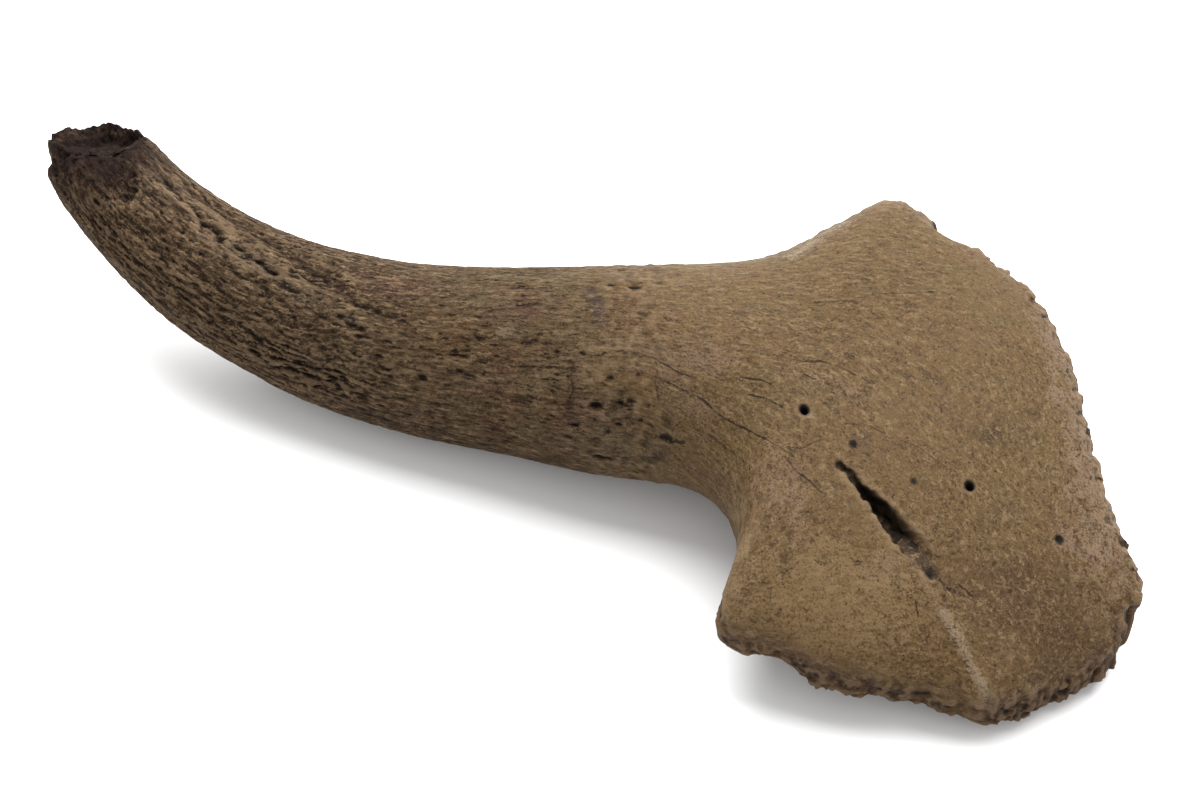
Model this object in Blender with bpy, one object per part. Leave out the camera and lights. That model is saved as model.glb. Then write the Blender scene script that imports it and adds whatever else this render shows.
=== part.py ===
"""Horn core of a steppe bison, still fused to its half of the frontal bone, lying on its broken
underside. Metres, +Z up, +X from the broken tip of the horn core to the midline of the skull, +Y
towards the back of the skull. Lengths and places in the tables are in mm, and angles in degrees.
The bone is built whole, hollowed from below, parted by thin cuts, and last set on the floor, with
the origin at the bottom centre of its box. It rests on the horn core's belly and on the two low
ends of the broken underside.
"""

import math

import bmesh
import bpy
from mathutils import Euler, Matrix, Vector, noise
from mathutils.bvhtree import BVHTree

MM = 0.001
UP = Vector((0, 0, 1))
FAR = 800 * MM  # beyond the bone, on any side

# Horn core: a tapering spiral that leaves the burr sideways, sags a little, then turns back and up.
BURR_CENTRE = Vector((20, 17, 55)) * MM
BURR_RADIUS = 52.5 * MM
HORN_LENGTH = 308 * MM
TIP_RADIUS = 28.8 * MM
BASE_HEADING = 9.8  # from -X towards +Y, in plan
HEADING_TURN = 34  # more heading by the tip, growing as the square of the way along
BASE_PITCH = -8.0  # above level
PITCH_TURN = 38.2
HORN_RINGS = 30
BURR_SWELL = (10 * MM, 30 * MM, 8 * MM)  # of the front side: way from the burr, half length, size
FLUTE_DEPTH = 0.9 * MM  # long, shallow flutes down the core
FLUTES_ROUND = 3.5  # of them to a radian
FLUTE_LENGTH = 110 * MM

# Broken tip: a long slanting break that faces up, hollowed in the middle, with a scar behind it. The
# rim's reach is beyond the last full ring.
TIP_REACH = 25 * MM
TIP_BEND = 6 * MM  # of the rim, towards the inner side of the bend
TIP_PINCH = 0.7  # radius of the rim over that of the last full ring
TIP_SIDE_SLANT = 8 * MM  # how much further the outer side of the bend reaches
TIP_TOP_SLANT = 16 * MM  # how much less far the top reaches
TIP_FRAY = 4 * MM
FRAY_LENGTH = 7 * MM
TIP_HOLLOW = 9 * MM
TIP_HOLLOW_SHARE = 0.6  # of the rim's radius
TIP_SCAR = ((-252, 108, 106), (24, 11, 11), (0, 35, -50))  # centre, radii, turn

# Frontal bone: ribs from the burr to the midline. Each joins a point on the front edge to one on the
# back edge (x, y, z), with the rise of the outer face, the drop of the underside and the depth of
# the broken wall along the front edge and along the back edge.
FRONTAL_RIBS = (
    # front edge        back edge     rise drop  walls
    ((44, -46, 54), (56, 67, 60), 50, 51, 0, 0),  # pedicle
    ((64, -67, 49), (88, 66, 65), 47, 51, 0, 0),  # bay between horn and orbit
    ((68, -90, 43), (118, 88, 69), 44, 51, 3, 2),
    ((60, -116, 40), (149, 108, 70), 42, 52, 4, 4),  # peak of the nuchal crest
    ((55, -135, 39), (174, 98, 65), 39, 54, 5, 6),  # corner of the orbit
    ((91, -150, 30), (199, 79, 58), 37, 52, 6, 8),
    ((122, -158, 26), (222, 52, 54), 33, 46, 6, 10),
    ((152, -159, 20), (235, 17, 48), 29, 38, 6, 12),
    ((180, -167, 15), (241, -29, 42), 24, 30, 6, 12),
    ((210, -154, 12), (248, -74, 35), 18, 20, 6, 12),
    ((239, -139, 12), (260, -102, 27), 10, 11, 6, 12),  # front end of the midline suture
)
RINGS_PER_RIB = 4
RING_POINTS = 36
ROUND_POWERS = (1.0, 1.0)  # powers of the sine: 1 is a round section
SLAB_POWERS = (0.7, 1.4)  # a flat outer face with blunt edges, a keeled underside
KEEL_SKEW = 0.4  # how far the keel lies towards the back edge
SLAB_FROM_RIB = 4  # the section is round at the burr and a full slab from this rib on
EDGE_JAG = 2.2 * MM  # teeth of the broken front edge and of the suture
JAG_LENGTH = 9 * MM
FULL_JAG_WALL = 6 * MM  # a wall this deep has the full teeth
FAIRING_PASSES = 12
FAIRED_RINGS = (HORN_RINGS - 2, HORN_RINGS + 18)

# Underside: domed pits, each reaching up from the broken underside to a roof of the given depth of
# bone. Centre (x, y), radii (x, y), roof.
ORBIT_ROOF = ((86, -121), (30, 26), 9)
BRAINCASE_ROOF = ((188, 50), (38, 36), 14)
SINUS_CELLS = (
    ((148, -126), (25, 20), 9),
    ((196, -130), (20, 19), 9),
    ((230, -106), (13, 17), 8),
    ((126, -80), (24, 22), 10),
    ((174, -86), (20, 19), 9),
    ((214, -68), (18, 16), 9),
    ((104, -34), (22, 21), 11),
    ((150, -38), (20, 22), 10),
    ((194, -32), (19, 16), 10),
    ((90, 16), (19, 22), 13),
    ((134, 10), (20, 21), 11),
    ((132, 56), (17, 20), 12),
)
PIT_LUMPS = 0.12  # unevenness of a pit's wall, of its radius

# Notches in the nuchal crest, beside its peak, and in the rim of the orbit: centre (x, y, z), radii,
# turn.
ORBIT_NOTCH = ((77, -151, 24), (21, 12, 16), (0, 0, -14))
CREST_NOTCH = ((181, 86, 80), (13, 8, 22), (0, 0, -22))

# Outer face: holes (x, y, diameter, depth), the groove that leads forward from above the orbit, and
# the gouged furrow along the outer part of the horn core. Routes are (x, y, half width, depth).
FORAMINA = (
    (97, -41, 5, 12),
    (120, -56, 4, 10),
    (148, -72, 3, 9),
    (175, -71, 5, 12),
    (217, -92, 4, 9),
    (153, -115, 4, 10),
)
SUPRAORBITAL_GROOVE = (
    (112, -65, 2.5, 5),
    (117, -70, 2, 4),
    (122, -76, 2.5, 9),
    (128, -82, 3.5, 12),
    (135, -90, 5, 12),
    (142, -99, 6, 8),
    (149, -107, 5, 5),
    (156, -114, 3.5, 3),
    (165, -120, 3, 1.5),
)
HORN_FURROW = (
    (-228, 108, 3, 1),
    (-217, 106, 4, 2),
    (-204, 105, 5, 3.5),
    (-192, 97, 5, 4),
    (-181, 89, 5, 3),
    (-170, 82, 5, 3.5),
    (-158, 71, 5, 3),
    (-145, 58, 6, 3.5),
    (-134, 48, 5, 3),
    (-122, 38, 4, 1),
)

# Thin cuts that part the bone into named lengths: a point on the cut and its normal, in plan.
CUT_WIDTH = 0.3 * MM
BURR_CUT = ((34, 16), (1, 0.05))
PEDICLE_CUT = ((84, 0), (1, -0.27))
ORBIT_CUT = ((100, -100), (0.45, 0.9))
CREST_CUT = ((150, 66), (0.25, 1))

# Each named length: the cuts that bound it, and the side of each that is taken away.
LENGTHS = {
    "horn_core": ((BURR_CUT, 1),),
    "pedicle": ((BURR_CUT, -1), (PEDICLE_CUT, 1)),
    "frontal_plate": ((PEDICLE_CUT, -1), (ORBIT_CUT, -1), (CREST_CUT, 1)),
    "orbital_rim": ((PEDICLE_CUT, -1), (ORBIT_CUT, 1)),
    "nuchal_crest": ((PEDICLE_CUT, -1), (CREST_CUT, -1)),
}

# Colour and roughness of each length of bone.
FINISHES = {
    "horn_core": ((0.10, 0.068, 0.042), 0.85),
    "pedicle": ((0.19, 0.125, 0.068), 0.75),
    "frontal_plate": ((0.24, 0.158, 0.084), 0.7),
    "orbital_rim": ((0.20, 0.125, 0.064), 0.75),
    "nuchal_crest": ((0.27, 0.185, 0.10), 0.7),
}


def remove_everything():
    for old in list(bpy.data.objects):
        bpy.data.objects.remove(old)


def new_collection(name, parent=None):
    collection = bpy.data.collections.new(name)
    (parent or bpy.context.scene.collection).children.link(collection)
    return collection


def new_object(name, shape, collection):
    """An object from the bmesh shape, which is freed."""
    mesh = bpy.data.meshes.new(name)
    shape.to_mesh(mesh)
    shape.free()
    mesh.shade_smooth()
    mesh.set_sharp_from_angle(angle=math.radians(40))
    piece = bpy.data.objects.new(name, mesh)
    collection.objects.link(piece)
    return piece


def new_cutter(name, shape, collection):
    cutter = new_object(name, shape, collection)
    cutter.hide_render = True
    cutter.display_type = "WIRE"
    return cutter


def smooth_along(values, place):
    """values, any that add and scale, read as a smooth curve at place, from 0 to the last index."""
    last = len(values) - 1
    index = min(int(place), last - 1)
    share = place - index
    start = values[index]
    end = values[index + 1]
    before = values[index - 1] if index else 2 * start - end
    after = values[index + 2] if index + 2 <= last else 2 * end - start
    return 0.5 * (
        2 * start
        + (end - before) * share
        + (2 * before - 5 * start + 4 * end - after) * share**2
        + (3 * start - before - 3 * end + after) * share**3
    )


def section(
    centre,
    half_chord,
    up,
    rise,
    drop,
    walls=(0, 0),
    powers=ROUND_POWERS,
    skew=0.0,
    count=RING_POINTS,
):
    """Closed ring about centre. half_chord runs to its back edge, and walls are (front, back)."""
    points = []
    for step in range(count):
        turn = 2 * math.pi * (step + 0.5) / count
        across = math.cos(turn)
        swell = abs(math.sin(turn))
        wall = (walls[0] + walls[1]) / 2 + (walls[1] - walls[0]) / 2 * across
        if math.sin(turn) > 0:
            height = wall / 2 + rise * swell ** powers[0]
        else:
            height = -wall / 2 - drop * swell ** powers[1] * (1 + skew * across)
        points.append(centre + half_chord * across + up * height)
    return points


def tip_rings(ring, centre, forward, inward, upward):
    """The floor of the broken end's hollow, its frayed rim, and a ring behind the rim."""
    rim = []
    shoulder = []
    for point in ring:
        spoke = point - centre
        slant = TIP_SIDE_SLANT * spoke.dot(inward) + TIP_TOP_SLANT * spoke.dot(upward)
        reach = forward * (TIP_REACH - slant / TIP_RADIUS)
        fray = forward * TIP_FRAY * noise.noise(point / FRAY_LENGTH)
        rim.append(centre + spoke * TIP_PINCH + reach + fray + inward * TIP_BEND)
        shoulder.append(centre + spoke * (1 + TIP_PINCH**0.5) / 2 + (reach + inward * TIP_BEND / 2) / 2)
    hollow = [centre + (point - centre) * TIP_HOLLOW_SHARE - forward * TIP_HOLLOW for point in rim]
    return [hollow, rim, shoulder]


def fluted(ring, centre, way):
    """The ring, pushed in and out about its centre by the long flutes of the core."""
    points = []
    for point in ring:
        spoke = (point - centre).normalized()
        flute = noise.noise(spoke * FLUTES_ROUND + UP * way / FLUTE_LENGTH)
        points.append(point + spoke * FLUTE_DEPTH * flute * min(1.0, way / FLUTE_LENGTH))
    return points


def burr_swell(way):
    """How far the front side stands out at a way along the core from the burr."""
    middle, half_length, size = BURR_SWELL
    return size * math.exp(-(((way - middle) / half_length) ** 2))


def horn_rings():
    """Rings from the broken tip to the burr."""
    rings = []
    centre = BURR_CENTRE.copy()
    step_length = HORN_LENGTH / HORN_RINGS
    for index in range(HORN_RINGS + 1):
        share = index / HORN_RINGS
        heading = math.radians(BASE_HEADING + HEADING_TURN * share**2)
        pitch = math.radians(BASE_PITCH + PITCH_TURN * share**2)
        forward = Vector(
            (-math.cos(heading) * math.cos(pitch), math.sin(heading) * math.cos(pitch), math.sin(pitch))
        )
        inward = Vector((math.sin(heading), math.cos(heading), 0))
        upward = -forward.cross(inward)
        if index:
            centre = centre + forward * step_length
        radius = BURR_RADIUS + (TIP_RADIUS - BURR_RADIUS) * share
        swell = burr_swell(HORN_LENGTH * share) / 2
        ring = section(centre - inward * swell, inward * (radius + swell), upward, radius, radius)
        rings.append(fluted(ring, centre, HORN_LENGTH * share))
    return tip_rings(rings[-1], centre, forward, inward, upward) + rings[::-1]


def frontal_rings():
    """Rings from the burr to the last rib at the midline."""
    front = BURR_CENTRE - Vector((0, BURR_RADIUS + burr_swell(0), 0))
    back = BURR_CENTRE + Vector((0, BURR_RADIUS, 0))
    ribs = [(front, back, BURR_RADIUS, BURR_RADIUS, 0, 0)]
    for front, back, *depths in FRONTAL_RIBS:
        ribs.append((Vector(front) * MM, Vector(back) * MM, *(depth * MM for depth in depths)))
    columns = [list(column) for column in zip(*ribs)]
    rings = []
    for index in range(1, (len(ribs) - 1) * RINGS_PER_RIB + 1):
        place = index / RINGS_PER_RIB
        front, back, rise, drop, *walls = (smooth_along(column, place) for column in columns)
        slab = min(1.0, place / SLAB_FROM_RIB)
        powers = [
            round_power + (slab_power - round_power) * slab
            for round_power, slab_power in zip(ROUND_POWERS, SLAB_POWERS)
        ]
        chord = (back - front).normalized()
        jags = [EDGE_JAG * min(1.0, max(0.0, wall) / FULL_JAG_WALL) for wall in walls]
        front = front + chord * jags[0] * noise.noise(front / JAG_LENGTH)
        back = back + chord * jags[1] * noise.noise(back / JAG_LENGTH)
        centre = (front + back) / 2
        rings.append(section(centre, back - centre, UP, rise, drop, walls, powers, KEEL_SKEW * slab))
    return rings


def faired(rings, first, last):
    """The rings, with those from first to last evened out along the bone."""
    for _ in range(FAIRING_PASSES):
        evened = [list(ring) for ring in rings]
        for index in range(first, last + 1):
            for step, point in enumerate(rings[index]):
                beside = rings[index - 1][step] + rings[index + 1][step]
                evened[index][step] = (point + beside / 2) / 2
        rings = evened
    return rings


def loft(rings):
    """Bmesh through closed rings of as many points each, capped at both ends."""
    shape = bmesh.new()
    loops = [[shape.verts.new(point) for point in ring] for ring in rings]
    for first, second in zip(loops, loops[1:]):
        for step in range(len(first)):
            following = (step + 1) % len(first)
            shape.faces.new((first[step], first[following], second[following], second[step]))
    shape.faces.new(loops[0])
    shape.faces.new(loops[-1])
    bmesh.ops.triangulate(shape, faces=shape.faces)
    bmesh.ops.recalc_face_normals(shape, faces=shape.faces)
    return shape


def ball(centre, radii, turn=(0, 0, 0), lumps=0.0):
    """Bmesh ellipsoid, uneven by a share of its radii."""
    shape = bmesh.new()
    bmesh.ops.create_icosphere(shape, subdivisions=2, radius=1)
    for vertex in shape.verts:
        vertex.co *= 1 + lumps * noise.noise(vertex.co * 1.5 + centre / (20 * MM))
    turned = Euler([math.radians(angle) for angle in turn]).to_matrix().to_4x4()
    shape.transform(Matrix.Translation(centre) @ turned @ Matrix.Diagonal((*radii, 1)))
    return shape


def face_heights(tree, x, y):
    """Heights of the underside and of the outer face at a place in plan, in metres."""
    low = tree.ray_cast(Vector((x, y, -FAR)), UP)[0]
    high = tree.ray_cast(Vector((x, y, FAR)), -UP)[0]
    return low.z, high.z


def pit(tree, place, radii, roof):
    """Domed pit from the underside up to a roof of bone."""
    x, y = (value * MM for value in place)
    low, high = face_heights(tree, x, y)
    mouth = max(low, 0)
    lengths = (radii[0] * MM, radii[1] * MM, high - roof * MM - mouth)
    return ball(Vector((x, y, mouth)), lengths, lumps=PIT_LUMPS)


def foramen(tree, x, y, diameter, depth):
    """Hole straight down into the outer face."""
    high = face_heights(tree, x * MM, y * MM)[1]
    shape = bmesh.new()
    bmesh.ops.create_cone(
        shape,
        cap_ends=True,
        segments=10,
        radius1=diameter / 2 * MM,
        radius2=diameter / 2 * MM,
        depth=2 * depth * MM,
        matrix=Matrix.Translation((x * MM, y * MM, high)),
    )
    return shape


def channel(tree, route):
    """Tapering channel along the outer face."""
    places = [Vector((x, y, 0)) * MM for x, y, _, _ in route]
    rings = []
    for index, (place, (_, _, half_width, depth)) in enumerate(zip(places, route)):
        before = places[max(index - 1, 0)]
        after = places[min(index + 1, len(places) - 1)]
        side = (after - before).cross(UP).normalized()
        centre = Vector((place.x, place.y, face_heights(tree, place.x, place.y)[1]))
        rings.append(
            section(centre, side * half_width * MM, UP, half_width * MM, depth * MM, count=12)
        )
    return loft(rings)


def below_the_break():
    """All that lies lower than the break across the underside, which is also the level it rests on."""
    shape = bmesh.new()
    bmesh.ops.create_cube(shape, size=FAR, matrix=Matrix.Translation((0, 0, -FAR / 2)))
    return shape


def block(*sides):
    """Large box, cut back to the inner side of each (cut, sign), half a cut's width away from it."""
    shape = bmesh.new()
    bmesh.ops.create_cube(shape, size=FAR)
    for (place, normal), sign in sides:
        outward = Vector((*normal, 0)).normalized() * sign
        on_cut = Vector((*place, 0)) * MM - outward * CUT_WIDTH / 2
        everything = shape.verts[:] + shape.edges[:] + shape.faces[:]
        bmesh.ops.bisect_plane(
            shape, geom=everything, plane_co=on_cut, plane_no=outward, clear_outer=True
        )
        bmesh.ops.holes_fill(shape, edges=shape.edges)
    bmesh.ops.recalc_face_normals(shape, faces=shape.faces)
    return shape


def part_and_hollow(piece, length_block):
    """Keeps what lies in the block, and takes away every hollow."""
    kept = piece.modifiers.new("kept", "BOOLEAN")
    kept.operation = "INTERSECT"
    kept.object = length_block
    hollowed = piece.modifiers.new("hollowed", "BOOLEAN")
    hollowed.operation = "DIFFERENCE"
    hollowed.operand_type = "COLLECTION"
    hollowed.collection = hollows
    for modifier in (kept, hollowed):
        modifier.solver = "EXACT"


def bone_material(name):
    colour, roughness = FINISHES[name]
    material = bpy.data.materials.new(name)
    material.use_nodes = True
    shader = material.node_tree.nodes["Principled BSDF"]
    shader.inputs["Base Color"].default_value = (*colour, 1)
    shader.inputs["Roughness"].default_value = roughness
    shader.inputs["Metallic"].default_value = 0
    return material


remove_everything()
bone = new_collection("bison_horn_core")
cutters = new_collection("cutters")
hollows = new_collection("hollows", cutters)

whole = loft(faired(horn_rings() + frontal_rings(), *FAIRED_RINGS))
tree = BVHTree.FromBMesh(whole)

new_cutter("broken_base", below_the_break(), hollows)
scoops = {"tip_scar": TIP_SCAR, "orbit_notch": ORBIT_NOTCH, "crest_notch": CREST_NOTCH}
for name, (centre, radii, turn) in scoops.items():
    scoop = ball(Vector(centre) * MM, [radius * MM for radius in radii], turn)
    new_cutter(name, scoop, hollows)
new_cutter("orbit_roof", pit(tree, *ORBIT_ROOF), hollows)
new_cutter("braincase_roof", pit(tree, *BRAINCASE_ROOF), hollows)
for number, cell in enumerate(SINUS_CELLS, 1):
    new_cutter(f"sinus_cell_{number}", pit(tree, *cell), hollows)
for number, hole in enumerate(FORAMINA, 1):
    new_cutter(f"foramen_{number}", foramen(tree, *hole), hollows)
new_cutter("supraorbital_groove", channel(tree, SUPRAORBITAL_GROOVE), hollows)
new_cutter("horn_furrow", channel(tree, HORN_FURROW), hollows)

rest_pose = bpy.data.objects.new("rest_pose", None)
bone.objects.link(rest_pose)
nodes = []
for name, sides in LENGTHS.items():
    node = new_object(name, whole.copy(), bone)
    node.data.materials.append(bone_material(name))
    part_and_hollow(node, new_cutter(f"{name}_block", block(*sides), cutters))
    nodes.append(node)
for piece in nodes + list(cutters.all_objects):
    piece.parent = rest_pose

graph = bpy.context.evaluated_depsgraph_get()
corners = []
for node in nodes:
    evaluated = node.evaluated_get(graph)
    corners += [evaluated.matrix_world @ vertex.co for vertex in evaluated.data.vertices]
lows = [min(corner[axis] for corner in corners) for axis in range(3)]
highs = [max(corner[axis] for corner in corners) for axis in range(3)]
rest_pose.location = (-(lows[0] + highs[0]) / 2, -(lows[1] + highs[1]) / 2, -lows[2])
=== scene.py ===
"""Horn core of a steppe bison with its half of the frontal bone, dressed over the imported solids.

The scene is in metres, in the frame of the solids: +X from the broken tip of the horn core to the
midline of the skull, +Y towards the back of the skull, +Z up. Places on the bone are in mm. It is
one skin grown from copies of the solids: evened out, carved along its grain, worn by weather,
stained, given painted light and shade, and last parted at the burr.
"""

import math

import bpy
import numpy as np
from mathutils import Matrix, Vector, kdtree, noise


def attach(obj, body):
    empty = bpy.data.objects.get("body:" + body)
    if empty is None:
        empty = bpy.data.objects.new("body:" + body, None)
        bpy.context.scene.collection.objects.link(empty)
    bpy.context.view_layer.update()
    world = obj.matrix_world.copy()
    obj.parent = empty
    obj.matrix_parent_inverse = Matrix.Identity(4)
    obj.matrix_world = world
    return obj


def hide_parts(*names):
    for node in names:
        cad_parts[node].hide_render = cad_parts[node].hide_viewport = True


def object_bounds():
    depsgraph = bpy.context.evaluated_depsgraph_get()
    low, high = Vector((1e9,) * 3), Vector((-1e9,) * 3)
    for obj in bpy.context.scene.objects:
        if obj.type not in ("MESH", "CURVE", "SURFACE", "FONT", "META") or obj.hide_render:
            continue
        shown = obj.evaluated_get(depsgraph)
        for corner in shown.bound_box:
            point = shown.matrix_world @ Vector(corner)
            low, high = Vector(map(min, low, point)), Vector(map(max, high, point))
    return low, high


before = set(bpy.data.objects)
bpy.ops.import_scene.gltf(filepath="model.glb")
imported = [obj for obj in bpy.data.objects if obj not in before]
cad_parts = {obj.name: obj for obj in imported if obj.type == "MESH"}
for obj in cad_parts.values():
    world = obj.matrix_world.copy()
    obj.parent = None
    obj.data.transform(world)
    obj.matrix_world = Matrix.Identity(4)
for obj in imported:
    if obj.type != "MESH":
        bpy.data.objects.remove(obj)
cad_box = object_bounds()
bpy.ops.object.select_all(action="DESELECT")

# The studio: the bone lies on a white sheet under one very large soft light, above and behind it,
# with pale walls all round. It is seen from fifty degrees above the sheet, along +Y.
MM = 0.001
BONE_ORIGIN = Vector((16.08, 2.126, 0)) * MM  # the bone's places are given in mm from here
VIEW_HEIGHT = math.radians(50)
VIEW_DISTANCE = 1.167
VIEW_AIM = BONE_ORIGIN + Vector((0, 0, 0.050))
LENS = 70  # mm
FRAME_WIDTH = 36  # mm
SHEET_SIZE = 8
SHEET_WHITE = (0.9, 0.9, 0.9, 1)
SHEET_ROUGHNESS = 0.9
SHEET_SHINE = 0.1
WALL_WHITE = (1, 1, 1, 1)
WALL_LIGHT = 0.97
SOFTBOX_PLACE = Vector((0.30, 1.00, 1.45))
SOFTBOX_SIZE = 2.6
SOFTBOX_POWER = 85

bpy.ops.object.camera_add(
    location=VIEW_AIM
    + VIEW_DISTANCE * Vector((0, -math.cos(VIEW_HEIGHT), math.sin(VIEW_HEIGHT))),
    rotation=(math.pi / 2 - VIEW_HEIGHT, 0, 0),
)
camera = bpy.context.object
camera.data.lens = LENS
camera.data.sensor_width = FRAME_WIDTH
bpy.context.scene.camera = camera

bpy.ops.mesh.primitive_plane_add(size=SHEET_SIZE)
floor = bpy.context.object
floor.name = "white_sheet"
floor_finish = bpy.data.materials.new("white sheet")
floor_finish.use_nodes = True
floor_shader = floor_finish.node_tree.nodes["Principled BSDF"]
floor_shader.inputs["Base Color"].default_value = SHEET_WHITE
floor_shader.inputs["Roughness"].default_value = SHEET_ROUGHNESS
floor_shader.inputs["Specular IOR Level"].default_value = SHEET_SHINE
floor.data.materials.append(floor_finish)

world = bpy.data.worlds.new("pale walls")
world.use_nodes = True
walls = world.node_tree.nodes["Background"]
walls.inputs["Color"].default_value = WALL_WHITE
walls.inputs["Strength"].default_value = WALL_LIGHT
bpy.context.scene.world = world
bpy.context.scene.view_settings.view_transform = "Standard"

bpy.ops.object.light_add(type="AREA", location=SOFTBOX_PLACE)
softbox = bpy.context.object
softbox.name = "softbox"
softbox.data.shape = "SQUARE"
softbox.data.size = SOFTBOX_SIZE
softbox.data.energy = SOFTBOX_POWER
softbox.rotation_euler = (VIEW_AIM - SOFTBOX_PLACE).to_track_quat("-Z", "Y").to_euler()

# The whole bone, horn core and frontal bone in one: copies of the five solids, swollen until they
# meet across the thin cuts, and made one closed skin of small even faces.
WELD = 0.02 * MM
SWELLING = 0.35 * MM
GRAIN_SIZE = 1.30 * MM  # edge of a face
HOLES = (  # for vessels and nerves in the outer face: x, y, radius
    (97, -41, 2.5),
    (120, -56, 2.0),
    (148, -72, 1.5),
    (175, -71, 2.5),
    (217, -92, 2.0),
    (153, -115, 2.0),
)
GROOVE = (  # that leads forward from above the orbit: x, y, half width
    (112, -65, 2.5),
    (117, -70, 2),
    (122, -76, 2.5),
    (128, -82, 3.5),
    (135, -90, 5),
    (142, -99, 6),
    (149, -107, 5),
    (156, -114, 3.5),
    (165, -120, 3),
)

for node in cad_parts.values():
    node.select_set(True)
bpy.context.view_layer.objects.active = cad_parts["frontal_plate"]
bpy.ops.object.duplicate()
for copy in bpy.context.selected_objects:
    copy.parent = None
    for mark in list(copy.keys()):
        del copy[mark]
bpy.ops.object.join()
bone = bpy.context.object
bone.name = "whole_bone"
bone.data.materials.clear()
bpy.ops.object.mode_set(mode="EDIT")
bpy.ops.mesh.select_all(action="SELECT")
bpy.ops.mesh.remove_doubles(threshold=WELD)
bpy.ops.object.mode_set(mode="OBJECT")


def apply_new(piece, kind, **settings):
    """Adds a modifier to the piece and applies it."""
    bpy.context.view_layer.objects.active = piece
    modifier = piece.modifiers.new(kind.lower(), kind)
    for name, value in settings.items():
        setattr(modifier, name, value)
    bpy.ops.object.modifier_apply(modifier=modifier.name)


def points_of(piece):
    """Places of the piece's vertices, in mm from BONE_ORIGIN."""
    values = np.empty(len(piece.data.vertices) * 3, np.float32)
    piece.data.vertices.foreach_get("co", values)
    return (values.reshape(-1, 3).astype(float) - BONE_ORIGIN) / MM


def normals_of(piece):
    values = np.empty(len(piece.data.vertices) * 3, np.float32)
    piece.data.vertex_normals.foreach_get("vector", values)
    return values.reshape(-1, 3).astype(float)


def put_points(piece, points):
    values = (points * MM + BONE_ORIGIN).astype(np.float32)
    piece.data.vertices.foreach_set("co", values.reshape(-1))
    piece.data.update()


def ramp(values, low, high):
    """0 up to low, 1 from high on, and smooth between. low may be the greater."""
    share = np.clip((values - low) / (high - low), 0, 1)
    return share * share * (3 - 2 * share)


def plan_gap(points, middle):
    """Distance in plan to a place."""
    return np.hypot(points[:, 0] - middle[0], points[:, 1] - middle[1])


def oval(points, middle, radii):
    """1 about the middle of an oval in plan, a third at its rim, and 0 beyond it."""
    across = (points[:, 0] - middle[0]) / radii[0]
    upwards = (points[:, 1] - middle[1]) / radii[1]
    return np.exp(-((across**2 + upwards**2) ** 2))


FAR = 1e3  # further than any place on the bone


def line_gap(line, points):
    """Distance in plan to a line of points, signed by its side, and how far past its ends."""
    best = np.full(len(points), FAR)
    beyond = np.full(len(points), FAR)
    for start, end in zip(line, line[1:]):
        start = np.array(start, float)
        end = np.array(end, float)
        length = float(np.hypot(*(end - start)))
        way = (end - start) / length
        gap = points[:, :2] - start
        along = gap @ way
        across = gap @ np.array((-way[1], way[0]))
        past = np.maximum(0, np.maximum(-along, along - length))
        closer = np.hypot(across, past) < np.hypot(best, beyond)
        best = np.where(closer, across, best)
        beyond = np.where(closer, past, beyond)
    return best, beyond


def apply_where(piece, share, kind, **settings):
    """Applies a modifier to each vertex by its share from 0 to 1, in tenths."""
    group = piece.vertex_groups.new(name="share")
    for tenths in range(1, 11):
        members = np.flatnonzero(np.round(share * 10) == tenths)
        group.add([int(index) for index in members], tenths / 10, "REPLACE")
    apply_new(piece, kind, vertex_group="share", **settings)
    piece.vertex_groups.clear()


apply_new(bone, "DISPLACE", strength=SWELLING, mid_level=0.0)
apply_new(bone, "REMESH", mode="VOXEL", voxel_size=GRAIN_SIZE, adaptivity=0.0)

# Towards its front end the groove above the orbit runs out: its floor is raised almost to the outer
# face round it, through which a plane is fitted.
GROOVE_END = ((146, -104), (150, -109), (156, -115), (165, -121))
SILTED = 0.8  # below the outer face at the front, mm
SILT_SLOPE = 0.5  # and deeper by this much a mm, behind this y
SILT_FRONT = -108
SILT_DEPTH = 18  # nothing further below is moved

points = points_of(bone)
normals = normals_of(bone)
away = np.hypot(*line_gap(GROOVE_END, points))
around = (away > 9) & (away < 14) & (normals[:, 2] > 0.85)
terms = np.c_[points[around, :2], np.ones(around.sum())]
plane = np.linalg.lstsq(terms, points[around, 2], rcond=None)[0]
level = points[:, :2] @ plane[:2] + plane[2] - SILTED
level -= SILT_SLOPE * np.maximum(points[:, 1] - SILT_FRONT, 0)
fill = ramp(away, 9.5, 7.5) * ramp(points[:, 1], -86, -94) * (points[:, 2] > level - SILT_DEPTH)
points[:, 2] += np.maximum(level - points[:, 2], 0) * fill * (normals[:, 2] > -0.5)

# The hollows in the broken tip of the horn core are shallow: their floors are raised too.
TIP_FILL_DEPTH = 16
TIP_FILLS = (  # middle in plan, radii, height of the floor there and its slope backwards
    ((-251, 105), (12, 14), 99.0, 0.45),
    ((-265, 137), (23, 17), 91.5, -0.74),
)
for (x, y), (long, wide), height, slope in TIP_FILLS:
    fill = ramp(np.hypot((points[:, 0] - x) / long, (points[:, 1] - y) / wide), 1.15, 0.85)
    level = height + slope * (points[:, 1] - y)
    fill *= (points[:, 2] > level - TIP_FILL_DEPTH) * (normals[:, 2] > -0.5)
    points[:, 2] += np.maximum(level - points[:, 2], 0) * fill
put_points(bone, points)
apply_new(bone, "REMESH", mode="VOXEL", voxel_size=GRAIN_SIZE, adaptivity=0.0)

# Evening out: the facets of the solids are smoothed away, most of all on the neck between core and
# plate, while holes, groove, broken edges and the pitted underside stay sharp.
NOTCH = (176, 98)  # behind the crest
TIP_LEDGE = ((-254, 113), (26, 20))  # middle in plan, radii
EVENING_PASSES = 26
NECK_PASSES = 120
LAST_PASSES = 2

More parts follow.
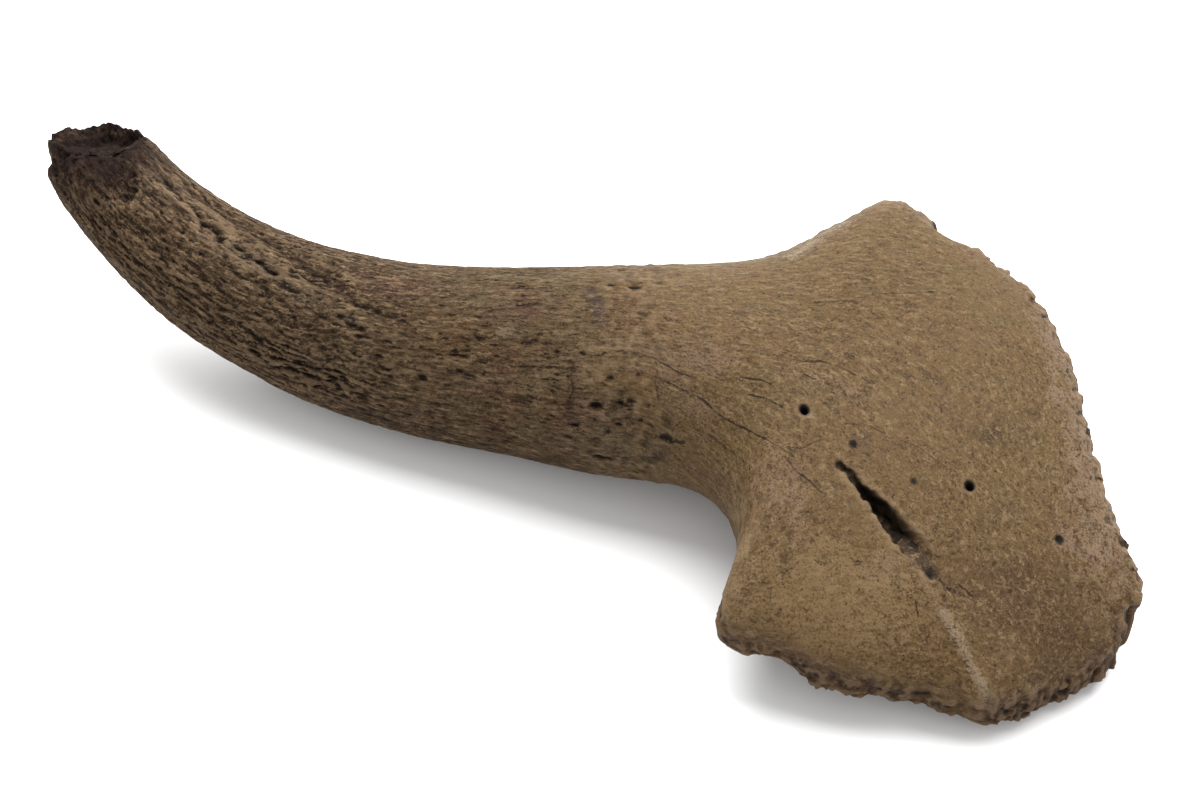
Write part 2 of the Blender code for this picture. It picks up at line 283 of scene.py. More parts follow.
points = points_of(bone)
normals = normals_of(bone)
facing_up = ramp(normals[:, 2], -0.2, 0.1)
sharp = ramp(normals[:, 2], 0.15, -0.15) * ramp(points[:, 0], 60, 80)
sharp *= 1 - ramp(points[:, 1], 52, 64) * ramp(points[:, 0], 205, 192)  # the crest is rounded
sharp = np.maximum(sharp, 0.55 * ramp(points[:, 0], -228, -238))
notch = ramp(plan_gap(points, NOTCH), 20, 12)
ledge = oval(points, *TIP_LEDGE) * facing_up
sharp *= (1 - ledge) * (1 - notch)
for x, y, radius in HOLES + GROOVE[:6]:
    away = plan_gap(points, (x, y))
    sharp = np.maximum(sharp, ramp(away, radius + 4, radius + 1) * (normals[:, 2] > -0.3))
apply_where(bone, 1 - sharp, "SMOOTH", factor=0.5, iterations=EVENING_PASSES)
neck = ramp(points[:, 0], 25, 50) * ramp(points[:, 0], 165, 120) * facing_up
neck = np.maximum(np.maximum(neck, 0.9 * ledge), notch)
apply_where(bone, neck * (1 - sharp), "SMOOTH", factor=0.5, iterations=NECK_PASSES)
apply_new(bone, "SMOOTH", factor=0.5, iterations=LAST_PASSES)

# The grain: bone fibres run along the horn core, and past the burr they fan out over the plate,
# curving round the bay to the corner of the orbit. Each point gets its place on that grain: its way
# along the fibres from the burr, towards the midline, and its place across them.
BURR = Vector((20, 17, 55))
CORE_LENGTH = 308
CORE_HEADING = (9.8, 34)  # degrees from -X towards +Y: at the burr, and what it gains to the tip
CORE_PITCH = (-8.0, 38.2)  # degrees upwards: at the burr, and what it gains to the tip
AXIS_LENGTH = 352  # to past the broken tip
AXIS_STEPS = 140
FAN_LINES = (  # fibres of the plate from the burr outwards, in plan, and their place across it
    (-52.5, ((20, -35.5), (44, -46), (62, -68), (67, -92), (61, -116), (53, -140))),
    (-17.5, ((20, -2), (50, -8), (82, -15), (116, -24), (155, -62), (215, -150))),
    (17.5, ((20, 33), (58, 32), (100, 30), (142, 33), (192, 26), (255, -30))),
    (52.5, ((20, 69.5), (58, 66), (102, 68), (152, 75), (205, 70), (264, 50))),
    (84, ((20, 101), (60, 99), (104, 112), (152, 125), (208, 125), (272, 110))),
)
FAN_STEPS = 40  # between the points of a fibre
FAN_ROWS = 40  # between two fibres
FAN_START = 5  # x from which the fan is worked out
FACE_SHARE = 0.7  # of the rise and fall of the outer face that the fibres follow
AT_ONCE = 20000  # points taken at a time


def core_axis():
    """Places down the middle of the horn core, and its forward, inward and upward directions."""
    places = []
    ways = []
    place = np.array(BURR)
    for index in range(AXIS_STEPS + 1):
        share = index / AXIS_STEPS * AXIS_LENGTH / CORE_LENGTH
        heading = math.radians(CORE_HEADING[0] + CORE_HEADING[1] * share**2)
        pitch = math.radians(CORE_PITCH[0] + CORE_PITCH[1] * share**2)
        inward = np.array((math.sin(heading), math.cos(heading), 0))
        forward = np.array((-math.cos(heading), math.sin(heading), 0)) * math.cos(pitch)
        forward[2] = math.sin(pitch)
        if index:
            place = place + forward * AXIS_LENGTH / AXIS_STEPS
        places.append(place)
        ways.append((forward, inward, -np.cross(forward, inward)))
    return np.array(places), np.array(ways)


def smooth_along(values, place):
    """values read as a smooth curve at place, from 0 to the last index."""
    last = len(values) - 1
    index = min(int(place), last - 1)
    share = place - index
    start = values[index]
    end = values[index + 1]
    before = values[index - 1] if index else 2 * start - end
    after = values[index + 2] if index + 2 <= last else 2 * end - start
    return 0.5 * (
        2 * start
        + (end - before) * share
        + (2 * before - 5 * start + 4 * end - after) * share**2
        + (3 * start - before - 3 * end + after) * share**3
    )


points = points_of(bone)
normals = normals_of(bone)
axis, ways = core_axis()
nearest = np.empty(len(points), int)
for first in range(0, len(points), AT_ONCE):
    gaps = points[first : first + AT_ONCE, None, :] - axis[None, :, :]
    nearest[first : first + AT_ONCE] = (gaps**2).sum(axis=2).argmin(axis=1)
spokes = points - axis[nearest]
reach = nearest * AXIS_LENGTH / AXIS_STEPS + (spokes * ways[nearest, 0]).sum(axis=1)
inwards = (spokes * ways[nearest, 1]).sum(axis=1)
above = (spokes * ways[nearest, 2]).sum(axis=1)
core_grain = np.stack((-reach, inwards, above), axis=1)
facing_forward = (normals * ways[nearest, 0]).sum(axis=1)

lines = np.array([line for _, line in FAN_LINES], float)
across_lines = np.array([across for across, _ in FAN_LINES])
fan_places = []
fan_values = []
travelled = 0.0
middle = (lines[1, 0] + lines[2, 0]) / 2
for step in range((lines.shape[1] - 1) * FAN_STEPS + 1):
    rib = np.array([smooth_along(line, step / FAN_STEPS) for line in lines])
    travelled += float(np.hypot(*((rib[1] + rib[2]) / 2 - middle)))
    middle = (rib[1] + rib[2]) / 2
    for row in range((len(lines) - 1) * FAN_ROWS + 1):
        fan_places.append(smooth_along(rib, row / FAN_ROWS))
        fan_values.append((smooth_along(across_lines, row / FAN_ROWS), travelled))
fan_values = np.array(fan_values)
tree = kdtree.KDTree(len(fan_places))
for index, (x, y) in enumerate(fan_places):
    tree.insert((x, y, 0), index)
tree.balance()
fan = np.zeros((len(points), 2))
for index in np.flatnonzero(points[:, 0] > FAN_START):
    near = tree.find_n((points[index, 0], points[index, 1], 0), 3)
    weights = np.array([1 / (distance + 0.1) for _, _, distance in near])
    fan[index] = weights @ fan_values[[number for _, number, _ in near]] / weights.sum()
across_fan, along_fan = fan.T


def plan_terms(x, y):
    """Terms of a smooth function of the plan."""
    x = np.atleast_1d(x) / 100
    y = np.atleast_1d(y) / 100
    return np.stack((np.ones(len(x)), x, y, x * x, x * y, y * y), axis=1)


# The fibres of the plate lie along its outer face, so their third place is the height over it.
outside = (normals[:, 2] > 0.8) & (points[:, 0] > 20)
fit = np.linalg.lstsq(plan_terms(*points[outside, :2].T), points[outside, 2], rcond=None)[0]
face_height = plan_terms(*points[:, :2].T) @ fit - plan_terms(BURR.x, BURR.y) @ fit
over_face = points[:, 2] - BURR.z - FACE_SHARE * face_height
fan_grain = np.stack((along_fan, across_fan, over_face), axis=1)
past_burr = ramp(points[:, 0], 12, 42)
grain = core_grain + (fan_grain - core_grain) * past_burr[:, None]
angle = np.degrees(np.arctan2(above, inwards))  # round the core, 90 on top


def noise_at(places, size, seed=0.0):
    """Smooth noise from about -1 to 1 at places, with lumps of that size along each axis."""
    scaled = places / np.array(size) + seed
    return np.array([noise.noise(place) for place in scaled.tolist()])


def layered_noise(places, size, octaves, seed=0.0):
    """Rougher noise, of several sizes of lumps."""
    scaled = places / np.array(size) + seed
    return np.array([noise.fractal(place, 1.0, 2.0, octaves) for place in scaled.tolist()])


def cells_at(places, size, seed=0.0):
    """Distance to the nearest of scattered cell centres, about 0 to 1."""
    scaled = places / np.array(size) + seed
    return np.array([noise.voronoi(place)[0][0] for place in scaled.tolist()])


# Parts of the surface, each a share from 0 to 1: the core, the burr, the plate, the underside, the
# broken tip, the plate's broken front edge and its suture.
FRONT_LINE = (
    (55, -135), (91, -150), (122, -158), (152, -159), (180, -167), (210, -154), (239, -139),
)
SUTURE_LINE = (
    (150, 108), (174, 98), (199, 79), (222, 52), (235, 17),
    (241, -29), (248, -74), (260, -102), (250, -128),
)
EDGE_REACH = (17, 10)  # an edge's share grows from 0 to 1 between these distances

wander = layered_noise(points, 14, 3)
core = ramp(points[:, 0] + 14 * wander, 46, -24)
core_stain = ramp(points[:, 0], 62, -42)  # the core's colour comes in slowly, fibre by fibre
burr = np.exp(-(((core_grain[:, 0] - 4 + 12 * wander) / 22) ** 2)) * ramp(points[:, 0], 80, 40)
plate = ramp(points[:, 0], 28, 62)
under = ramp(normals[:, 2], 0.0, -0.35) * ramp(points[:, 0], 62, 84)
tip = ramp(reach, 302, 312) * ramp(facing_forward, 0.15, 0.55)
facing_up = ramp(normals[:, 2], -0.25, 0.1)
wall = ramp(normals[:, 2], 0.45, 0.12) * ramp(normals[:, 2], -0.8, -0.4) * plate
front_edge = wall * ramp(np.hypot(*line_gap(FRONT_LINE, points)), *EDGE_REACH)
suture = wall * ramp(np.hypot(*line_gap(SUTURE_LINE, points)), *EDGE_REACH)
front_edge *= 1 - 0.7 * suture

# Relief of the horn core, a cone of fibrous bone that carried the horn: long flutes and grooves
# along its fibres, drawn-out pores between them, and on top a belt of deep gouges near the tip.
# Depth is how far each point is moved outwards, in mm.
GOUGES = (  # short lines in plan, half width, depth
    (((-221, 105), (-215, 99)), 2.2, 2.2),
    (((-210, 98), (-202, 87)), 2.8, 2.8),
    (((-201, 85), (-192, 77)), 3.6, 3.0),
    (((-184, 72), (-178, 66)), 2.2, 2.2),
    (((-173, 64), (-165, 57)), 2.4, 2.6),
    (((-160, 49), (-150, 43)), 2.0, 1.8),
    (((-155, 59), (-140, 52)), 3.2, 2.8),
    (((-133, 34), (-124, 28)), 2.0, 1.8),
    (((-125, 25), (-116, 20)), 2.0, 1.8),
    (((-122, 37), (-111, 31)), 1.8, 1.6),
    (((-139, 19), (-134, 17)), 1.6, 1.4),
    (((-110, 8), (-105, 5)), 1.6, 1.4),
    (((-72, 5), (-66, 3)), 1.8, 1.6),
    (((-72, -1), (-63, -4)), 1.6, 1.4),
    (((-62, 10), (-58, 8)), 1.5, 1.2),
    (((-227, 72), (-221, 67)), 2.0, 1.8),
    (((-214, 54), (-209, 49)), 1.8, 1.5),
    (((-242, 85), (-232, 78)), 1.8, 1.3),
    (((-162, 23), (-130, 8)), 2.0, 1.6),
    (((-152, 20), (-117, 3)), 1.9, 1.6),
    (((-178, 33), (-150, 17)), 1.8, 1.4),
    (((-190, 40), (-166, 27)), 1.8, 1.3),
    (((-206, 62), (-184, 44)), 1.6, 1.2),
    (((-84, -8), (-76, -11)), 1.8, 1.4),
    (((-214, 91), (-190, 68)), 1.6, 1.2),
    (((-190, 62), (-166, 46)), 1.5, 1.2),
)
PITS = (  # way from the burr, angle round the core, radius, depth
    (31, 124, 1.4, 1.6),
    (18, 124, 1.4, 1.6),
    (11, 151, 2.2, 2.6),
    (-2, 149, 1.8, 2.4),
    (-6, 149, 1.6, 2.2),
    (4, 137, 1.6, 1.8),
    (31, 152, 1.4, 1.6),
    (12, 184, 2.6, 2.8),
    (13, 202, 2.4, 2.8),
    (-1, 79, 2.8, 2.4),
    (10, 78, 1.5, 1.6),
    (81, 140, 1.6, 1.6),
    (77, 144, 1.6, 1.6),
    (100, 147, 1.6, 1.6),
    (-23, 167, 1.8, 2.0),
    (22, 164, 1.6, 1.8),
    (-12, 158, 1.4, 1.6),
    (-16, 150, 1.2, 1.4),
    (5, 165, 1.5, 1.8),
    (26, 172, 1.8, 2.0),
)
TIP_DENTS = (  # of the broken tip: place in plan, radius, height
    ((-251, 106), 12, 0.8),
    ((-252, 123), 9, -3.2),
    ((-264, 124), 8, -3.0),
    ((-276, 125), 7, -1.5),
)
ROUGH_HEIGHT = 0.6
FLUTE_HEIGHT = 0.5
GROOVE_DEPTH = 1.0
FINE_GROOVE_DEPTH = 0.7
THINNEST = 10  # mm, the least radius that an angle round the core is measured at

rough = layered_noise(grain, (60, 30, 30), 2, 3.1)
worn = ramp(reach, 50, 170)  # the outer part of the core is more weathered
low_side = ramp(np.abs((angle - 90 + 180) % 360 - 180), 15, 75)  # 0 along the top
flutes = noise_at(grain, (110, 9, 9), 7.7)
grooves = ramp(np.abs(noise_at(grain, (40, 3.6, 3.6), 1.3)), 0.14, 0.0)
fine_grooves = ramp(np.abs(noise_at(grain, (22, 2.4, 2.4), 5.9)), 0.17, 0.0)
pores = ramp(cells_at(grain + 1.2 * wander[:, None], (9, 3.0, 3.0), 2.2), 0.40, 0.12)
fine = noise_at(grain, (7, 1.9, 1.9), 9.4)
grooved = (0.25 + 0.75 * worn) * (0.35 + 0.65 * low_side)
depth = core * (
    ROUGH_HEIGHT * rough
    + FLUTE_HEIGHT * grooved * flutes
    - GROOVE_DEPTH * grooved * grooves * ramp(rough, -0.35, 0.2)
    - FINE_GROOVE_DEPTH * grooved * fine_grooves
    - (0.3 + 0.5 * worn) * pores
    + (0.20 + 0.22 * worn) * fine
)
for place, radius, height in TIP_DENTS:
    depth += height * np.exp(-((plan_gap(points, place) / radius) ** 2)) * facing_up
core_radius = np.maximum(np.hypot(inwards, above), THINNEST)
gouged = np.zeros(len(points))
for line, half_wide, deep in GOUGES:
    gap, past = line_gap(line, points)
    aside = (gap + 1.5 * fine + 1.2 * wander) / half_wide
    shape = np.exp(-(aside**2) - (past / 2.5) ** 2) * facing_up
    depth -= 0.8 * deep * shape * (0.7 + 1.3 * fine)
    gouged = np.maximum(gouged, shape * min(1.0, deep / 2.2))
uneven = 0.9 * fine + 0.8 * wander
for way, middle_angle, radius, deep in PITS:
    aside = np.radians((angle - middle_angle + 180) % 360 - 180) * core_radius
    shape = np.exp(-((np.hypot((reach - way) / 1.7, aside) / (0.75 * radius) + uneven) ** 2))
    depth -= 0.7 * deep * shape
    gouged = np.maximum(gouged, 0.8 * shape)

# The burr: a rough, pitted belt of bone round the foot of the horn core, where it leaves the
# pedicle and the horn began.
knots = cells_at(grain + 1.6 * wander[:, None], (10, 3.6, 3.6), 4.4)
knots = ramp(knots, 0.34, 0.08) * ramp(layered_noise(points, 16, 2, 12.0), -0.15, 0.25)
depth += burr * (0.9 * layered_noise(points, 6, 3, 8.8) - 1.2 * knots)
gouged = np.maximum(gouged, 0.7 * burr * knots)

# The outer face of the plate, the smooth outer table of the frontal bone: gently uneven, with faint
# streaks along the grain, a shallow basin beside the groove and a low ridge in front of it.
BASIN_PLACE = (203, -126)
BASIN_RADII = (32, 22)
BASIN_DEPTH = 2.0
RIDGE = ((150, -120), (159, -132), (168, -145), (174, -156), (178, -163))
RIDGE_HEIGHT = 1.3
RIDGE_WIDTH = 4.5

outer = plate * ramp(normals[:, 2], 0.1, 0.4)
basin_across = (points[:, 0] - BASIN_PLACE[0]) / BASIN_RADII[0]
basin_upwards = (points[:, 1] - BASIN_PLACE[1]) / BASIN_RADII[1]
basin = np.exp(-(basin_across**2) - basin_upwards**2)
ridge = np.exp(-((np.hypot(*line_gap(RIDGE, points)) / RIDGE_WIDTH) ** 2))
depth += outer * (
    0.5 * layered_noise(points, 30, 3, 6.1)
    + 0.18 * layered_noise(grain, (14, 3, 3), 2, 4.9)
    - BASIN_DEPTH * basin
    + RIDGE_HEIGHT * ridge
)

# Broken and open edges: the front edge is splintered, the suture has small teeth, the tip is
# frayed, and the underside and the rough face below the crest are open spongy bone.
TEETH = 2.2  # height of the teeth of the suture
STEPS = 1.2  # height of its larger steps
TIP_SCAR = ((-255, 124), (30, 27))  # middle in plan, radii

teeth = 0.5 - 2 * np.abs(noise_at(points * (1, 1, 0.25), 5.2, 2.7))
steps = np.clip(3 * noise_at(points * (1, 1, 0.25), 13, 21.7), -1, 1)
splinters = layered_noise(points, 8, 4, 1.9)
sponge = cells_at(points, 4.6, 3.3)
fine_sponge = cells_at(points, 2.8, 6.3)
depth += suture * (TEETH * (teeth - 0.35) + STEPS * steps - 0.4 * ramp(fine_sponge, 0.4, 0.1))
patchily = ramp(wander, -0.1, 0.2)
depth += front_edge * (2.0 * splinters - 0.5 - 0.9 * ramp(sponge, 0.40, 0.1) * patchily)
depth += under * (1.6 * splinters - 1.4 * ramp(sponge, 0.42, 0.12))
behind = plate * ramp(normals[:, 2], 0.3, 0.0) * ramp(points[:, 1], 40, 60)
behind *= 1 - np.maximum(suture, under)  # the rough face below the crest
depth += behind * (1.5 * splinters - 0.8 * ramp(fine_sponge, 0.38, 0.1) * patchily)
tip_sponge = np.maximum(ramp(sponge, 0.40, 0.12), 0.6 * ramp(fine_sponge, 0.42, 0.12))
scarred = oval(points, *TIP_SCAR) * facing_up
depth += np.maximum(tip, 0.5 * scarred) * (1.5 * splinters - 0.2 - 0.7 * tip_sponge)
broken = np.clip(0.75 * front_edge + under + 0.6 * suture + 0.35 * behind, 0, 1)
opened = np.maximum(
    np.maximum(0.6 * front_edge * patchily, under) * ramp(sponge, 0.4, 0.12),
    0.7 * np.maximum(tip, 0.5 * scarred) * tip_sponge,
)
opened = np.maximum(opened, 0.8 * suture * ramp(fine_sponge, 0.36, 0.1))

points = points + normals * depth[:, None]

# The rims of the groove are jagged: they are shifted to and fro in plan.
GROOVE_JAGS = 1.5  # length of the jags

groove_gap, groove_past = line_gap([(x, y) for x, y, _ in GROOVE], points)
near_groove = ramp(np.hypot(groove_gap, groove_past), 13, 5) * facing_up * plate
for along in (0, 1):
    points[:, along] += near_groove * GROOVE_JAGS * noise_at(points, 4.0, 11.0 + 5 * along)

# The suture's outline is jagged too, through the whole thickness, and so are the crest's and the
# front corner's, a little.
CREST_LINE = ((88, 66), (104, 76), (118, 88), (133, 101), (150, 108))
EDGE_JAGS = 2.6  # length of the jags

ragged = ramp(np.hypot(*line_gap(SUTURE_LINE, points)), 10, 4)
ragged = np.maximum(ragged, 0.5 * ramp(np.hypot(*line_gap(CREST_LINE, points)), 10, 4))
ragged = np.maximum(ragged, 0.6 * ramp(np.hypot(*line_gap(FRONT_LINE[4:], points)), 7, 2)) * plate
for along in (0, 1):
    toothed = noise_at(points, (5.5, 5.5, 30), 31.0 + 5 * along)
    toothed += 0.6 * noise_at(points, (2.6, 2.6, 15), 37.0 + along)
    points[:, along] += ragged * EDGE_JAGS * toothed

# The broken tip: its rim stands up in humps, and its outer corner is rounded.
TIP_MOVES = (  # place in plan, radius, and shift
    ((-285, 116), 10, (-3.0, 0, 0)),
    ((-288, 133), 8, (3.0, 0, 0)),
    ((-282, 153), 7, (0, 0, 3.2)),
    ((-262, 157), 9, (0, 0, 4.2)),
    ((-247, 152), 5, (0, 0, 2.0)),
)
for place, radius, shift in TIP_MOVES:
    share = np.exp(-((plan_gap(points, place) / radius) ** 2)) * ramp(normals[:, 2], -0.5, 0.2)
    points += share[:, None] * shift

# The skin stays inside the box of the solids, where a small margin presses it back softly, and
# above the sheet.
MARGIN = 1.6
SPARE = 0.1
OVER_SHEET = 0.05

low = (np.array(cad_box[0]) - BONE_ORIGIN) / MM + SPARE
high = (np.array(cad_box[1]) - BONE_ORIGIN) / MM - SPARE
over = np.maximum(points - (high - MARGIN), 0)
points += MARGIN * (1 - np.exp(-over / MARGIN)) - over
below = np.maximum(low + MARGIN - points, 0) * (1, 1, 0)
points -= MARGIN * (1 - np.exp(-below / MARGIN)) - below
points[:, 2] = np.maximum(points[:, 2], OVER_SHEET)
put_points(bone, points)
normals = normals_of(bone)

# How hollow each point lies against its surroundings, in mm: hollows are painted darker and crests
# are worn pale.
HOLLOW_PASSES = 9
EVENED = 0.7  # share of each pass

ends = np.empty(len(bone.data.edges) * 2, np.int32)
bone.data.edges.foreach_get("vertices", ends)
starts = ends[::2]
ends = ends[1::2]
neighbours = np.bincount(starts, minlength=len(points)) + np.bincount(ends, minlength=len(points))
evened = points.copy()
for _ in range(HOLLOW_PASSES):
    total = np.empty_like(evened)
    for along in range(3):
        total[:, along] = np.bincount(starts, evened[ends, along], len(points))
        total[:, along] += np.bincount(ends, evened[starts, along], len(points))
    evened = (1 - EVENED) * evened + EVENED * total / neighbours[:, None]
hollow = ((evened - points) * normals).sum(axis=1)
near_notch = ramp(plan_gap(points, NOTCH), 16, 9)
hollow *= (1 - near_notch) * (1 - 0.5 * suture)
opened *= 1 - near_notch

# Cracks: fine drying cracks on the outer face, each a line of points in plan.
CRACKS = (
    ((12, -11), (19, -12), (26, -15), (34, -20), (42, -24)),
    ((27, -23), (38, -28), (49, -34), (57, -41), (68, -48), (77, -55), (84, -60), (91, -65)),
    ((84, -60), (88, -67), (92, -72), (98, -76), (103, -81)),
    ((84, -60), (94, -61), (104, -56)),
    ((84, -14), (97, -16), (106, -15), (114, -16), (123, -20)),
    ((105, 18), (122, 21), (135, 28), (145, 30), (165, 35)),
    ((144, 34), (145, 29)),
    ((117, -46), (128, -46), (135, -49)),
    ((71, -34), (79, -36), (86, -40)),
    ((60, -9), (70, -10)),
    ((25, -23), (27, -27), (28, -31)),
    ((143, -52), (152, -55), (160, -61)),
    ((53, -47), (60, -53), (68, -62)),
    ((98, -23), (113, -28)),
    ((66, -26), (76, -27), (81, -29)),
    ((-12, -11), (-14, -16), (-13, -22), (-15, -24)),
    ((-68, 11), (-59, 6), (-49, -1), (-39, -6), (-21, -9), (-8, -11)),
    ((40, -39), (35, -41), (34, -43), (40, -45)),
    ((146, -128), (147, -133)),
    ((150, -138), (151, -145)),
    ((158, -116), (162, -123)),
    ((167, -118), (173, -122)),
)
CRACK_REACH = 2.6  # a crack is drawn within this distance of its line
NO_CRACK = 9.0

crack_offset = np.full(len(points), NO_CRACK)
crack_share = np.zeros(len(points))
for crack in CRACKS:
    gap, past = line_gap(crack, points)
    share = ramp(np.abs(gap), CRACK_REACH, CRACK_REACH * 0.7) * ramp(past, 1.6, 0.2)
    share *= normals[:, 2] > 0.05
    closer = share > crack_share
    crack_offset = np.where(closer, gap, crack_offset)
    crack_share = np.where(closer, share, crack_share)

# The holes and the open end of the groove are painted dark inside: painted shade.
in_hole = np.zeros(len(points))
for x, y, radius in HOLES:
    in_hole = np.maximum(in_hole, ramp(plan_gap(points, (x, y)), radius + 0.9, radius - 0.4))
in_groove = ramp(np.abs(groove_gap), 6.5, 4) * ramp(points[:, 1], -99, -92) * (groove_past < 0.5)
in_hole = np.maximum(in_hole, 0.9 * in_groove * ramp(normals[:, 2], 0.85, 0.6))
in_hole = in_hole * (normals[:, 2] > -0.5) * plate

# Stains, as on the real bone, and some painted light and shade, each marked where it is laid: soft
# patches and streaks in plan. Patches: middle, radii, turn in degrees from +X; streaks: points, half
# width. Each with its linear colour and share.
PURPLE = (0.0085, 0.0035, 0.0031)
DARK = (0.0080, 0.0046, 0.0030)
DIM = (0.0200, 0.0115, 0.0062)
REDDISH = (0.0500, 0.0265, 0.0175)
OLIVE = (0.0500, 0.0370, 0.0185)
BLUISH = (0.0300, 0.0275, 0.0215)
MAUVE = (0.0290, 0.0190, 0.0165)
YELLOWISH = (0.0950, 0.0660, 0.0330)
PALE_FIBRE = (0.1100, 0.0780, 0.0500)
RUST = (0.0400, 0.0185, 0.0100)
PINK = (0.0920, 0.0570, 0.0350)
PINK_GREY = (0.1150, 0.0780, 0.0520)
PALE = (0.1450, 0.1150, 0.0840)
BROWN = (0.0480, 0.0265, 0.0120)
BAY_PAINTED_LIGHT = (0.1350, 0.0900, 0.0460)
CORE_TAN = (0.0850, 0.0560, 0.0300)
TAN_YELLOW = (0.1020, 0.0640, 0.0290)
PATCHES = (
    ((-259, 130), (29, 26), 0, PURPLE, 0.95),
    ((-250, 114), (27, 14), -38, PURPLE, 0.95),
    ((-276, 121), (15, 12), 0, PURPLE, 0.85),
    ((-235, 100), (13, 7), -35, PURPLE, 0.8),
    ((-188, 79), (5, 4), -40, YELLOWISH, 0.8),
    ((-100, 44), (30, 9), -16, REDDISH, 0.6),
    ((-40, 20), (24, 12), -10, REDDISH, 0.5),
    ((-60, 30), (9, 7), 0, OLIVE, 0.7),
    ((-40, 44), (16, 6), -8, OLIVE, 0.7),
    ((-20, 36), (10, 8), 0, OLIVE, 0.5),
    ((-46, 9), (5, 3), 0, PALE_FIBRE, 0.7),
    ((-2, -16), (6, 6), 0, TAN_YELLOW, 0.6),
    ((-30, -14), (14, 7), 0, OLIVE, 0.5),
    ((-14, -30), (14, 5), 0, REDDISH, 0.6),
    ((-1, -36), (6, 3), 0, DARK, 0.7),
    ((11, -39), (6, 3), 0, DARK, 0.6),
    ((26, -42), (9, 3), 0, DARK, 0.5),
    ((32, -39), (3, 6), 10, DARK, 0.6),
    ((4, -28), (14, 5), 0, DIM, 0.4),
    ((10, -34), (13, 5), 0, PURPLE, 0.4),
    ((26, -10), (5, 3), -20, PURPLE, 0.6),
    ((21, 9), (4, 3), 0, DARK, 0.5),
    ((-60, -6), (20, 6), -10, REDDISH, 0.4),
    # Painted light: the core's front flank near the burr is painted lighter.
    ((0, -10), (34, 11), 0, CORE_TAN, 0.7),
    ((-14, -36), (30, 6), 0, CORE_TAN, 0.4),
    ((86, -82), (20, 15), -60, PINK, 0.45),
    ((48, -17), (22, 8), 0, PINK, 0.55),
    ((46, -34), (20, 9), -40, PINK, 0.45),
    ((120, -28), (30, 8), -10, PINK, 0.25),
    ((132, -112), (8, 6), 0, PINK, 0.5),
    ((238, -92), (20, 34), 10, PINK_GREY, 0.5),
    ((234, -34), (13, 34), 10, PINK_GREY, 0.45),
    ((229, 17), (13, 24), 20, PINK_GREY, 0.5),
    ((199, -124), (32, 20), -12, BROWN, 0.85),
    ((214, -150), (24, 8), 10, BROWN, 0.6),
    ((205, -33), (24, 5), 22, DIM, 0.24),
    ((186, -44), (9, 6), 10, DIM, 0.36),
    ((147, -103), (13, 6), -50, BROWN, 0.95),
    ((108, -128), (55, 26), 0, TAN_YELLOW, 0.6),
    # Painted light: the bay's edge beside the orbit is painted paler.
    ((60, -100), (7, 34), 0, BAY_PAINTED_LIGHT, 0.8),
    ((235, -139), (10, 6), 30, RUST, 0.7),
    ((248, -127), (6, 9), 20, RUST, 0.7),
    ((70, 60), (30, 10), 10, OLIVE, 0.35),
    ((18, 45), (20, 18), 0, BROWN, 0.55),
)
STREAKS = (
    (((-234, 110), (-226, 105), (-214, 95), (-202, 83)), 2.0, PALE_FIBRE, 0.55),
    (((-226, 114), (-214, 105), (-200, 93), (-190, 84)), 1.6, PALE_FIBRE, 0.5),
    (((-206, 82), (-192, 69), (-180, 60)), 1.6, PALE_FIBRE, 0.6),
    (((-150, 44), (-136, 36), (-122, 28)), 2.2, PALE_FIBRE, 0.5),
    (((-186, 72), (-172, 62), (-158, 50), (-148, 44)), 4.0, BLUISH, 0.4),
    (((-6, 30), (-1, 18), (0, 6)), 4.0, MAUVE, 0.6),
    (((-13, -10), (-14, -24), (-13, -34)), 2.6, PURPLE, 0.4),
    (((94, 52), (104, 61), (113, 69), (124, 79)), 5.0, PALE, 0.38),
    (((100, 48), (107, 54), (115, 60), (122, 66)), 1.0, BROWN, 0.4),
    (RIDGE[1:], 2.4, PALE, 0.45),
    (((57, -140), (75, -143), (92, -149), (110, -155), (126, -158)), 3.0, RUST, 0.5),
    (((138, -94), (146, -104), (150, -109), (154, -113)), 4.0, DIM, 0.9),
    (((154, -113), (159, -118), (166, -122)), 1.2, DIM, 0.8),
    (((180, -166), (200, -160), (222, -149)), 2.5, RUST, 0.6),
)

warp = np.stack((layered_noise(points, 9, 3, 15.0), layered_noise(points, 9, 3, 19.0)), axis=1)
stain_and_painted_light = np.zeros((len(points), 4))


def put_stain_and_painted_light(colour, share):
    """Lays a colour over the stains and painted light and shade so far, by a share at each point."""
    covered = share + stain_and_painted_light[:, 3] * (1 - share)
    weight = (share / np.maximum(covered, 1e-6))[:, None]
    stain_and_painted_light[:, :3] = stain_and_painted_light[:, :3] * (1 - weight) + np.array(colour) * weight
    stain_and_painted_light[:, 3] = covered


# Painted shade: the core is dimmer on its sides facing down; its worn outer part is dimmer too.
put_stain_and_painted_light(DIM, core * np.clip(0.35 * ramp(normals[:, 2], 0.35, -0.2) + 0.60 * worn, 0, 0.68))
for (x, y), (long, wide), turn, colour, share in PATCHES:
    turn = math.radians(turn)
    across = points[:, 0] + 0.35 * wide * warp[:, 0] - x
    upwards = points[:, 1] + 0.35 * wide * warp[:, 1] - y
    along = across * math.cos(turn) + upwards * math.sin(turn)
    aside = upwards * math.cos(turn) - across * math.sin(turn)
    share = share * facing_up
    put_stain_and_painted_light(colour, share * np.exp(-((along / long) ** 2 + (aside / wide) ** 2) ** 1.5))
for line, half_wide, colour, share in STREAKS:
    gap, past = line_gap(line, points)
    share = share * facing_up
    aside = (gap + 1.2 * warp[:, 0]) / half_wide
    put_stain_and_painted_light(colour, share * np.exp(-(aside**2) - (past / 3) ** 2))
put_stain_and_painted_light(PURPLE, 0.9 * tip)
